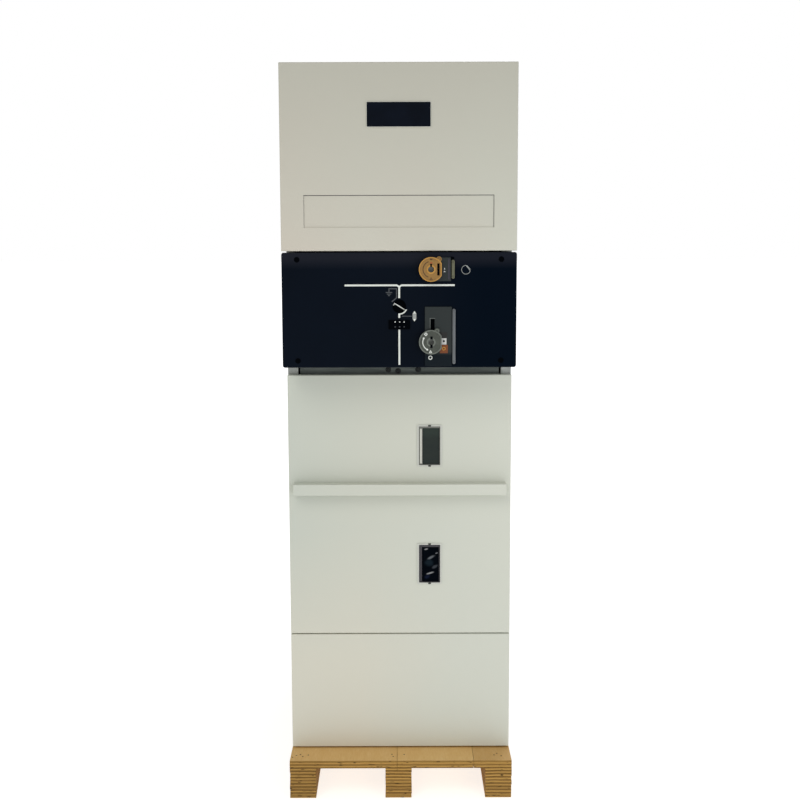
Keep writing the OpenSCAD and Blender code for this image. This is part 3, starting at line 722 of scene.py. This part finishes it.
(slot_x0, slot_z0), (slot_x1, slot_z1) = on_cover(zip(SLOT_X, SLOT_UP))
slot_hole = (slot_x0, slot_x1, slot_z0, slot_z1)
earth_bore, switch_bore, window_bore = [(*on_cover([(x, z)])[0], r * MM) for x, z,
    r in ((DIAL_X, EARTH_UP, BORE_R), (DIAL_X, SWITCH_UP, BORE_R), (0, INDICATOR_UP, WINDOW_R))]
folded_panel("mimic_cover", navy_moulding, "navy_cover", [slot_hole],
    [earth_bore, switch_bore, window_bore], radius=5 * MM, corner_share=1.0, fold_share=0.44)

# Matt black plastic caps, a shade darker than the cover.
cap_plastic = mottled("matt_black_cap_plastic", "000103", "02050A", 800.0, Roughness=0.6,
    Specular_IOR_Level=0.02)
cad_piece("cover_screw_caps", cap_plastic, "black_cap", 0.5 * MM, "cover_caps")

# ----------------------------
# Mimic diagram: the single-line diagram printed on the cover in thick pale ink, with the earth
# branch and the small cable symbol in grey, and the key-lock knock-out's edge highlight painted grey.

INK = 0.3
LINE = 3.9

# Screen printing ink, slightly uneven in cover. The pale ink is the brightest thing on the
# cover; the grey ink is barely lighter than the cover.
pale_ink, grey_ink, red_ink, slot_highlight_ink, mid_ink = [mottled(name + "_screen_ink", dark, light, 260.0, 3.0,
    Roughness=0.5) for name, dark, light in (("pale", "D2D8D2", "F0F4EE"),
    ("dark_grey", "35393E", "4E5257"), ("brick_red", "9C3A14", "C4501E"),
    ("slot_highlight_grey", "555B58", "666C68"), ("mid_grey", "8C908F", "A6AAA6"))]


def area(points, depth=INK):
    """A flat shape: its outline, no hole and its thickness."""
    return points, None, depth


def stroke(points, width, closed=False, depth=INK):
    """A line of even width along points, mitred at its bends: outline, hole and thickness."""
    count = len(points)
    left, right = [], []
    for i, (x, z) in enumerate(points):
        before = points[i - 1] if i or closed else None
        after = points[(i + 1) % count] if i < count - 1 or closed else None
        normals = []
        for a, b in ((before, (x, z)), ((x, z), after)):
            if a and b:
                way = Vector((b[0] - a[0], b[1] - a[1])).normalized()
                normals.append(Vector((-way.y, way.x)))
        across = sum(normals, Vector((0, 0))).normalized()
        across *= width / 2 / max(0.4, across.dot(normals[0]))
        left.append((x + across.x, z + across.y))
        right.append((x - across.x, z - across.y))
    return (left, right, depth) if closed else (left + right[::-1], None, depth)


def arc(cx, cz, radius, start, end, steps=24):
    """Points of an arc about a centre, its angles in degrees from +X towards +Z."""
    turns = [math.radians(start + (end - start) * i / steps) for i in range(steps + 1)]
    return [(cx + radius * math.cos(t), cz + radius * math.sin(t)) for t in turns]


def circle(cx, cz, radius):
    return arc(cx, cz, radius, 0, 345, 23)


def draw(name, finish, slot, y, shapes, **settings):
    """A piece of thin shapes in cover millimetres, laid on the surface at y."""
    plate_piece(name, finish, slot, *((on_cover(outline), y - depth * MM, y, hole and on_cover(hole))
        for outline, hole, depth in shapes), **settings)


PRINTED = {"rounded": 0.1 * MM, "steps": 1}
bus, half = 175.5, LINE / 2
bar = [(-116, bus - half), (-5, bus - half), (-half, bus - 2.4 * half), (-half, 148.4), (half, 148.4),
    (half, bus - 2.4 * half), (5, bus - half), (118, bus - half), (118, bus + half), (5, bus + half),
    (0, bus - 0.5 * half), (-5, bus + half), (-116, bus + half)]
draw("mimic_busbar_print", pale_ink, "cream_paint", face_y, [area(bar[::-1]),
    stroke([(0, 81.3), (0, 5.9)], LINE), stroke([(0, 115.6), (0, 106.3)], LINE),
    stroke(arc(0, INDICATOR_UP, 16.6, -24, -95), 2.6, depth=1.2 * INK)], **PRINTED)
earth_x = -21.7
branch = [(-16, 140.6), (-5.6, 149), (-5.6, 168.3), (earth_x, 168.3), (earth_x, 161)]
draw("mimic_earth_print", grey_ink, "black_cap", face_y, [stroke(branch, 2.2),
    *(stroke([(earth_x - width / 2, height), (earth_x + width / 2, height)], 1.9) for height,
    width in ((160.4, 14), (157, 9), (153.8, 4.5))), stroke([(5.4, 109.9), (26.7, 109.9)], 1.7)],
    **PRINTED)
symbol = [(28.4, 115.5), (28.4, 104.1), (32.4, 98.6), (36.4, 104.1), (36.4, 115.5), (32.4, 121)]
draw("mimic_cable_symbol", mid_ink, "cream_paint", face_y, [area(symbol)], **PRINTED)
draw("mimic_cable_tips", pale_ink, "cream_paint", face_y, [area([(32.4, tip), (29.2, base),
    (35.6, base)], 1.4 * INK) for tip, base in ((121, 115.5), (98.6, 104.1))], rounded=0.05 * MM,
    steps=1)

# The knock-out for a key lock, moulded into the cover: its edge highlight is painted as a fine grey
# ring with a flat at its upper right.
lock, flat_at, reach = (141.8, 208, 9.2), 41, math.degrees(math.acos(0.66))
ends = [arc(*lock, flat_at + side * reach, flat_at, 1)[0] for side in (-0.8, 0.8)]
draw("lock_knockout_edge_highlight", mid_ink, "navy_cover", face_y, [stroke(arc(*lock, flat_at + reach, flat_at
    + 360 - reach, 40)[:-1], 1.1, closed=True), stroke(ends, 1.5, depth=1.3 * INK)], **PRINTED)

# ----------------------------
# Voltage indicator: a small black block let into the diagram, with three clear lenses in its
# upper row and three dark ones in its lower row.

LENS_X = (-8.8, 0.9, 10.4)
LENS_R, LENS_HEIGHT = 1.5 * MM, 0.9 * MM
low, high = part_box("voltage_indicator")
plate_piece("voltage_indicator_block", cap_plastic, "black_cap",
    (rounded_rect(*middle_and_size("voltage_indicator"), 2 * MM), low.y, high.y),
    replaces=["voltage_indicator"], rounded=0.5 * MM)
for row, height, ink in (("upper", 97.8, pale_ink), ("lower", 87.4, grey_ink)):
    spots = [(x, low.y + 0.1 * MM, z) for x, z in on_cover((x, height) for x in LENS_X)]
    fit_fasteners(f"voltage_lenses_{row}", spots, LENS_R, LENS_HEIGHT, ink, top=0.6)

# ----------------------------
# Position indicator: a black disc behind the round window, with a white blade that turns with
# the line switch and closes the diagram's line.

dress_node("position_indicator", cap_plastic)
draw("indicator_blade", pale_ink, "cream_paint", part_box("position_indicator")[0].y,
    [stroke([(-12.4, 132.6), (-10, 137), (11.8, 123.2)], 2.1)], body="position_indicator", **PRINTED)

# ----------------------------
# Operator plates: dark lacquered steel plates riveted to the cover behind the two dials. The
# switch plate carries small stickers and a slot for the interlock.

# Dark grey lacquer over brushed steel: fine upright brush lines, a dull sheen, and a darker
# foot.
lacquer, add, shader, place = start_finish("dark_lacquered_brushed_steel", Metallic=0.12,
    Roughness=0.42)
brush = add("TexNoise", Vector=add("Mapping", Vector=place, Scale=(900.0, 900.0, 12.0)), Scale=1.0)
axes = add("SeparateXYZ", place).node.outputs
foot = add("MapRange", axes["Z"], From_Min=cover_low.z + 26 * MM, From_Max=cover_low.z + 34 * MM)
foot_tint = add("Mix", foot, "141D24", "1B2525")
feed(shader, {"Base Color": add("Mix", add("MapRange", brush, To_Max=0.25), foot_tint, "14191B"),
    "Specular IOR Level": add("MapRange", foot, To_Min=0.1, To_Max=0.5),
    "Normal": add("Bump", Height=brush, Strength=0.1, Distance=0.1 * MM)})

low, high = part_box("switch_operator_plate")
plate_y = low.y
make_piece("switch_plate", add_panel(bmesh.new(), low, high, high.y - low.y, [slot_hole], [switch_bore],
    tray=False), lacquer, "operator_plate", ["switch_operator_plate"], rounded=0.8 * MM)

low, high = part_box("earthing_operator_plate")
earth_y = low.y
cx, cz, bore = earth_bore
outline = on_cover(arc(DIAL_X, EARTH_UP, (high.z - low.z) / 2 / MM, 90, 270, 40))
outline += [(high.x, low.z), (high.x, high.z)]
turns = [math.atan2(z - cz, x - cx) for x, z in outline]
plate_piece("earthing_plate", lacquer, "operator_plate", (outline, low.y, high.y,
    [(cx + bore * math.cos(t), cz + bore * math.sin(t)) for t in turns]),
    replaces=["earthing_operator_plate"], rounded=0.4 * MM)

# Painted shade and highlight at the interlock slot: a black plastic strip behind the cover stands for
# the shade inside the slot, and a pale grey stroke along the slot's left and top edges paints their
# highlight.
shade_strip_y = face_y + SHEET + 2.4 * MM
draw("interlock_slot_shade_strip", cap_plastic, "black_cap", shade_strip_y, [area(rounded_rect(sum(SLOT_X) / 2,
    sum(SLOT_UP) / 2, 16.5, 42, 1), 2)], rounded=0.3 * MM)
draw("interlock_slot_edge_highlight", slot_highlight_ink, "operator_plate", plate_y,
    [stroke([(SLOT_X[0] - 1.2, 84), (SLOT_X[0] - 1.2, 105.2), (SLOT_X[1] + 1, 105.2)], 1.3)])

# Paper stickers with a film over them: even, slightly glossy colours with worn corners.
orange_film, white_film, yellow_film, black_film, plum_film = [mottled(name + "_sticker_film", worn,
    colour, 320.0, 3.0, Roughness=0.35) for name, worn, colour in (("orange", "5E2C08", "964E12"),
    ("white", "BFC0BC", "E8E9E6"), ("yellow", "C88A2C", "E8B04A"), ("black", "0A0B0A", "161816"),
    ("plum_grey", "2B2836", "3D3A49"))]
sticker_y = plate_y - INK * MM
cursor = [area([(93.6, 203.2), (98.8, 203.2), (96.2, 206.4)]), area([(95.2, 208.4), (97.4, 208.4),
    (97, 212), (95.6, 212)])]
for name, film, slot, y, shapes in (("switch_plate_dark_sticker", black_film, "black_cap", plate_y,
        [area(rounded_rect(94.6, 69.4, 15, 12.6, 0.8))]), ("switch_plate_white_sticker", white_film,
        "cream_paint", plate_y, [area(rounded_rect(94.9, 56, 11.4, 13.4, 0.8))]),
        ("switch_plate_orange_sticker", orange_film, "amber_dial", plate_y,
        [area(rounded_rect(95, 39.8, 17, 18, 1))]), ("white_sticker_dot", cap_plastic, "black_cap",
        sticker_y, [area(circle(95, 56.6, 2.2))]), ("orange_sticker_ring", yellow_film, "cream_paint",
        sticker_y, [stroke(circle(94.9, 40.6, 3.1), 1.2, closed=True)]),
        ("switch_plate_off_ring", pale_ink, "cream_paint", plate_y,
        [stroke(circle(66.2, 21.2, 3.6), 1.9, closed=True)]), ("earthing_plate_side_film", plum_film,
        "operator_plate", earth_y, [area(rounded_rect(105.4, 209.5, 3, 44, 1))]),
        ("earthing_plate_cursor", white_film, "cream_paint", earth_y, cursor)):
    draw(name, film, slot, y, shapes, rounded=0.0 if y == sticker_y else 0.08 * MM, steps=1)

# ----------------------------
# Slide bars: plated steel bars with round ends that slide up and down beside the plates, each
# held by a small screw at either end.

# Satin nickel plate and olive zinc on steel, drawn lengthwise, so each has a bright edge and
# fine long lines.
drawn_steel = {"scale": (1100.0, 1100.0, 25.0), "Metallic": 0.85, "Roughness": 0.38}
nickel = mottled("satin_nickel_plate", "565A5D", "8E9296", **drawn_steel)
olive_zinc = mottled("olive_passivated_zinc", "5C5E4C", "8A8B74", **drawn_steel)
for node, metal in (("switch_slide_bar", nickel), ("earthing_slide_bar", olive_zinc)):
    low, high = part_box(node)
    cx, cz, width, height = middle_and_size(node)
    plate_piece(node + "_metal", metal, "slide_bar", (rounded_rect(cx, cz, width, height, width * 0.49,
        8), low.y, high.y), replaces=[node], rounded=0.8 * MM, steps=3)
    ends = [(cx, low.y + 0.1 * MM, z) for z in (low.z + width * 0.75, high.z - width * 0.75)]
    fit_fasteners(node + "_screws", ends, 2.3 * MM, 1.0 * MM, metal, recess=0.6 * MM,
        seed=9)
draw("earthing_bar_stop", cap_plastic, "black_cap", face_y, [area(rounded_rect(112.6, 232.4, 7.5, 5.6,
    1), 3)], rounded=0.4 * MM)

# ----------------------------
# Operating dials: two moulded discs on hollow shafts, turned with a lever put into the socket.
# Each has a raised rim, a flat on its right, a padlock ear and a keyed socket.

DIAL_R, FLAT, RIM_WIDTH, SOCKET_R, SHAFT_R, EAR_R, EAR_AWAY = 26, 22.5, 2.5, 6.3, 8.5, 5.7, 27.2
SOCKET_DEPTH = 22 * MM
DIAL_SINK = 1.5 * MM
DIAL_THICK = 4 * MM

# Amber polycarbonate: warm, lit a little from within, with a satin surface and flow marks.
amber = mottled("moulded_amber_polycarbonate", "7A5924", "AC8038", 90.0, 4.0, 0.8, Roughness=0.36,
    IOR=1.58)
# The raised rim is a lighter copy of the same plastic: a painted highlight along it.
amber_rim_highlight = mottled("amber_polycarbonate_rim_highlight", "A87A32", "CC9A48", 90.0, 4.0, 0.8, Roughness=0.3)
amber_dark = mottled("amber_engraving", "432C0E", "5E4018", 200.0, 4.0, 0.8, Roughness=0.6)
# Smoke polycarbonate over a grey base: mid grey with a lighter, cloudy look.
smoke = mottled("moulded_smoke_polycarbonate", "2C322B", "50564C", 110.0, 4.0, 0.8, Roughness=0.3,
    IOR=1.58)
# The raised rim is a lighter copy of the same plastic: a painted highlight along it.
smoke_rim_highlight = mottled("smoke_polycarbonate_rim_highlight", "545A53", "7C827A", 110.0, 4.0, 0.8, Roughness=0.3)


def dial_reach(turn, radius, flat, ear_at=None):
    """Distance from the dial's centre to its outline at an angle."""
    reach = min(radius, flat / math.cos(turn)) if math.cos(turn) > 1e-6 else radius
    if ear_at is not None:
        off = turn - ear_at
        gap = EAR_R ** 2 - (EAR_AWAY * math.sin(off)) ** 2
        if gap > 0 and math.cos(off) > 0:
            reach = max(reach, EAR_AWAY * math.cos(off) + math.sqrt(gap))
    return reach


def polar(up, reach, steps=240):
    """Outline about a dial's centre from its reach, one value or a rule for each angle."""
    turns = [math.tau * i / steps for i in range(steps)]
    reaches = [reach(t) if callable(reach) else reach for t in turns]
    return on_cover((DIAL_X + r * math.cos(t), up + r * math.sin(t)) for t, r in zip(turns, reaches))


for node, slot, up, ear_angle, plastic, rim in (("earthing_dial", "amber_dial", EARTH_UP, 52, amber,
        amber_rim_highlight), ("switch_dial", "grey_dial", SWITCH_UP, 62, smoke, smoke_rim_highlight)):
    low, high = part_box(node)
    face = low.y + DIAL_SINK
    back = face + DIAL_THICK
    moulded = {"body": node, "steps": 3, "angle": 40}
    disc = polar(up, partial(dial_reach, radius=DIAL_R, flat=FLAT, ear_at=math.radians(ear_angle)))
    plate_piece(node + "_disc", plastic, slot, (disc, face, back, polar(up, SOCKET_R)), replaces=[node],
        rounded=0.45 * MM, **moulded)
    inner = partial(dial_reach, radius=DIAL_R - RIM_WIDTH, flat=FLAT - RIM_WIDTH)
    plate_piece(node + "_rim", rim, slot, (polar(up, partial(dial_reach, radius=DIAL_R, flat=FLAT)),
        low.y, back, polar(up, inner)), (polar(up, SHAFT_R + 1.2, 120), low.y + 0.7 * MM, back,
        polar(up, SOCKET_R, 120)), rounded=0.5 * MM, **moulded)
    shaft, end = polar(up, SHAFT_R, 96), face + SOCKET_DEPTH
    plate_piece(node + "_shaft", zinc_sheet, "zinc_steel", (shaft, back, end, polar(up, SOCKET_R, 96)),
        (shaft, end, high.y), body=node, rounded=0.4 * MM, angle=40)

# Marks on the amber dial: an engraved travel arc, a stop mark at the top, a small triangle at the
# foot, a ring on the ear, the keyed socket's shadow painted black and the black slot of the padlock
# shutter.
low_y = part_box("earthing_dial")[0].y
face, cz = low_y + DIAL_SINK, EARTH_UP
ear = arc(DIAL_X, cz, EAR_AWAY, 52, 52, 1)[0]
draw("earthing_dial_engraving", amber_dark, "amber_dial", face, [stroke(arc(DIAL_X, cz, 17, 108, 250,
    30), 1.7), stroke([(DIAL_X - 2.6, cz + 21.2), (DIAL_X + 2.8, cz + 21.2)], 3.2),
    stroke([(DIAL_X - 2.6, cz - 22), (DIAL_X + 2.6, cz - 22), (DIAL_X, cz - 17.4)], 1.0, closed=True),
    stroke(circle(*ear, 3), 0.9, closed=True)], body="earthing_dial")
draw("earthing_dial_tick", red_ink, "amber_dial", face, [area(rounded_rect(DIAL_X + 0.4, cz + 13.6, 4.4,
    2, 0.4))], body="earthing_dial")
draw("earthing_dial_slot_and_socket_shade", cap_plastic, "black_cap", face, [area(rounded_rect(DIAL_X + 15.5, cz, 5,
    25.4, 1)), area(rounded_rect(DIAL_X, cz + 8.6, 3.6, 6.4, 0.6), 1)], body="earthing_dial")

# Marks on the grey dial: a white travel arc with round ends, a diamond at its upper end and a
# triangle at its lower end, and the keyed socket, with the shade in its key slots painted black.
low_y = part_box("switch_dial")[0].y
face, cz = low_y + DIAL_SINK, SWITCH_UP
travel = (152, 243)
ends = [arc(DIAL_X, cz, 17.7, turn, turn, 1)[0] for turn in travel]
draw("switch_dial_marks", pale_ink, "cream_paint", face, [stroke(arc(DIAL_X, cz, 17.7, *travel, 24),
    1.9), *(area(circle(*end, 2), 1.2 * INK) for end in ends), stroke(arc(56.4, 72, 3, 0, 270, 3), 1.7,
    closed=True), stroke([(63.8, 32.6), (68.8, 32.6), (66.3, 37.2)], 1.4, closed=True)],
    body="switch_dial")
ear = arc(DIAL_X, cz, EAR_AWAY, 62, 62, 1)[0]
draw("switch_dial_ear_ring", smoke_rim_highlight, "grey_dial", face, [stroke(circle(*ear, 3.6), 1.4,
    closed=True)], body="switch_dial")
draw("switch_dial_socket_shade", cap_plastic, "black_cap", face, [area(rounded_rect(DIAL_X + 0.8, z, 5, 6.4,
    0.8), 1) for z in (cz + 9, cz - 9)], body="switch_dial")

# ----------------------------
# Control cabinet: a sheet steel box over the mechanism, with a folded front, two sides, a roof,
# a floor and a back, coated cream like the rest.

STRIP_LAP = 8 * MM
DISPLAY_LAP = 4 * MM
# The cabinet's coat is a darker copy of the same cream, which paints shade, darker still towards its
# top, and a painted warm reflection on its left.
cream_upper = cream_finish("cream_powder_coat_cabinet", "CDCCC1", "CFC7BA", "CFD0C3", "BBBAAE",
    (1.24, 1.6), 0.9)
strip_hole = lapped_hole("label_strip", STRIP_LAP)
folded_panel("cabinet_front", cream_upper, "cream_paint", [strip_hole,
    lapped_hole("display_window", DISPLAY_LAP)])
cad_piece("label_strip", cream_upper, "cream_paint", 0.3 * MM, "label_strip_plate")
# Painted shadow: thin dark strips in the foam finish along the top and the sides of the recess stand
# for the shade under its edges.
x0, x1, z0, z1 = strip_hole
strip_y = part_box("label_strip")[0].y
plate_piece("label_recess_painted_shadow", liner_foams["lower"], "black_cap",
    *(([(a, c), (b, c), (b, d), (a, d)], strip_y - 0.5 * MM, strip_y) for a, b, c,
    d in ((x0, x1, z1 - 1.3 * MM, z1), (x1 - 1.1 * MM, x1, z0, z1 - 1.4 * MM),
    (x0, x0 + 0.5 * MM, z0, z1 - 1.4 * MM))))
for part in ("side_left", "side_right", "roof", "floor", "rear"):
    cad_piece("cabinet_" + part, cream_upper, "cream_paint", 0.6 * MM)

# ----------------------------
# Display window: a sheet of glossy black glass set in a thin pale gasket, pale to paint the highlight
# on the edge round the glass.

GASKET = 0.8 * MM

# Back-painted glass: navy black and smooth, with faint finger marks in its gloss.
display_glass = mottled("back_painted_display_glass", "03070E", "09111F", 24.0, 6.0, gloss=(0.06, 0.2),
    Specular_IOR_Level=0.12)
low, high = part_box("display_window")
cx, cz, width, height = middle_and_size("display_window")
glass = rounded_rect(cx, cz, width - 2 * GASKET, height - 2 * GASKET, 1.2 * MM)
plate_piece("display_glass_sheet", display_glass, "display_glass", (glass, low.y, high.y),
    replaces=["display_window"], rounded=0.4 * MM)
plate_piece("display_gasket_highlight", frame_plastic, "window_frame", (rounded_rect(cx, cz, width, height,
    1.6 * MM), low.y + 0.6 * MM, high.y, glass), rounded=0.2 * MM)

# ----------------------------
# Busbar compartment: the closed space behind the control cabinet, two sides and a roof that is
# screwed down along its edges.

ROOF_SCREWS = 4
for part in ("side_left", "side_right", "roof"):
    cad_piece("busbar_" + part, cream_upper, "cream_paint", 0.6 * MM)
low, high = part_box("busbar_roof")
roof_spots = [(x, low.y + (high.y - low.y) * (i + 0.5) / ROOF_SCREWS, high.z - 0.1 * MM)
    for x in (low.x + SCREW_IN, high.x - SCREW_IN) for i in range(ROOF_SCREWS)]
fit_fasteners("roof_screws", roof_spots, SCREW_R, SCREW_HEIGHT, zinc_sheet, facing=TO_TOP,
    recess=SCREW_RECESS, seed=11)

# ----------------------------
# Camera and studio: the camera stands where the cubicle is seen straight on and a little from
# above; soft lamps, a pale floor and a pale surround are not part of the object.

EYE, LOOK_DOWN, LEAN = (0.001, -3.08, 1.229), 7.06, 0.18
FLOOR_HALF = 150.0
FLOOR_GLOW = 0.55
WORLD_LIGHT = 0.42

camera_data = bpy.data.cameras.new("camera")
camera_data.lens = 54.0
camera_data.sensor_width = 36.0
camera = add_object("camera", camera_data)
camera.matrix_world = (Matrix.Translation(EYE) @ Matrix.Rotation(math.radians(90 - LOOK_DOWN), 4, "X")
    @ Matrix.Rotation(math.radians(-LEAN), 4, "Z"))
scene = bpy.context.scene
scene.camera = camera
scene.view_settings.view_transform = "Standard"

# Lit white vinyl: it glows a little, so that it stays white far away and lights the foot.
floor_paint = mottled("lit_white_vinyl_floor", "CDCDCB", "D1D1CF", 0.8, Roughness=0.9,
    Emission_Color="FFFFFF")
add = partial(add_node, floor_paint.node_tree)
away = add("VectorMath", add("TexCoord", out="Object"), operation="LENGTH", out="Value")
glow = add("MapRange", away, From_Min=1.5, From_Max=9.0, To_Min=0.75, To_Max=1.0)
seen = add("LightPath", out="Is Camera Ray")
feed(floor_paint.node_tree.nodes["Principled BSDF"], {"Emission Strength": add("Mix", seen, FLOOR_GLOW,
    glow, data_type="FLOAT")})
floor_mesh = bpy.data.meshes.new("studio_floor")
floor_mesh.from_pydata([(x * FLOOR_HALF, y * FLOOR_HALF, 0) for x,
    y in ((-1, -1), (1, -1), (1, 1), (-1, 1))], [], [(0, 1, 2, 3)])
floor_mesh.materials.append(floor_paint)
add_object("studio_floor", floor_mesh)

for name, spot, target, size, watts, colour in (("key_lamp", (-1.3, -2.8, 3.2), (0, -0.4, 0.8), 1.8, 26,
        "FFFBF2"), ("fill_lamp", (2.4, -3.2, 0.9), (0, 0, 0.5), 2.2, 24, "F4F8FF"),
        ("back_lamp", (1.5, 3.6, 2.8), (0, 0, 0.9), 2.4, 60, "FFFFFF")):
    lamp = bpy.data.lights.new(name, "AREA")
    lamp.size = size
    lamp.energy = watts
    lamp.color = linear(colour)[:3]
    holder = add_object(name, lamp)
    holder.location = spot
    holder.rotation_euler = (Vector(target) - Vector(spot)).to_track_quat("-Z", "Y").to_euler()

world = bpy.data.worlds.new("pale_surround")
world.use_nodes = True
add = partial(add_node, world.node_tree)
light = add("MapRange", add("LightPath", out="Is Camera Ray"), To_Min=WORLD_LIGHT, To_Max=1.0)
feed(world.node_tree.nodes["Background"], {"Color": "FFFFFF", "Strength": light})
scene.world = world
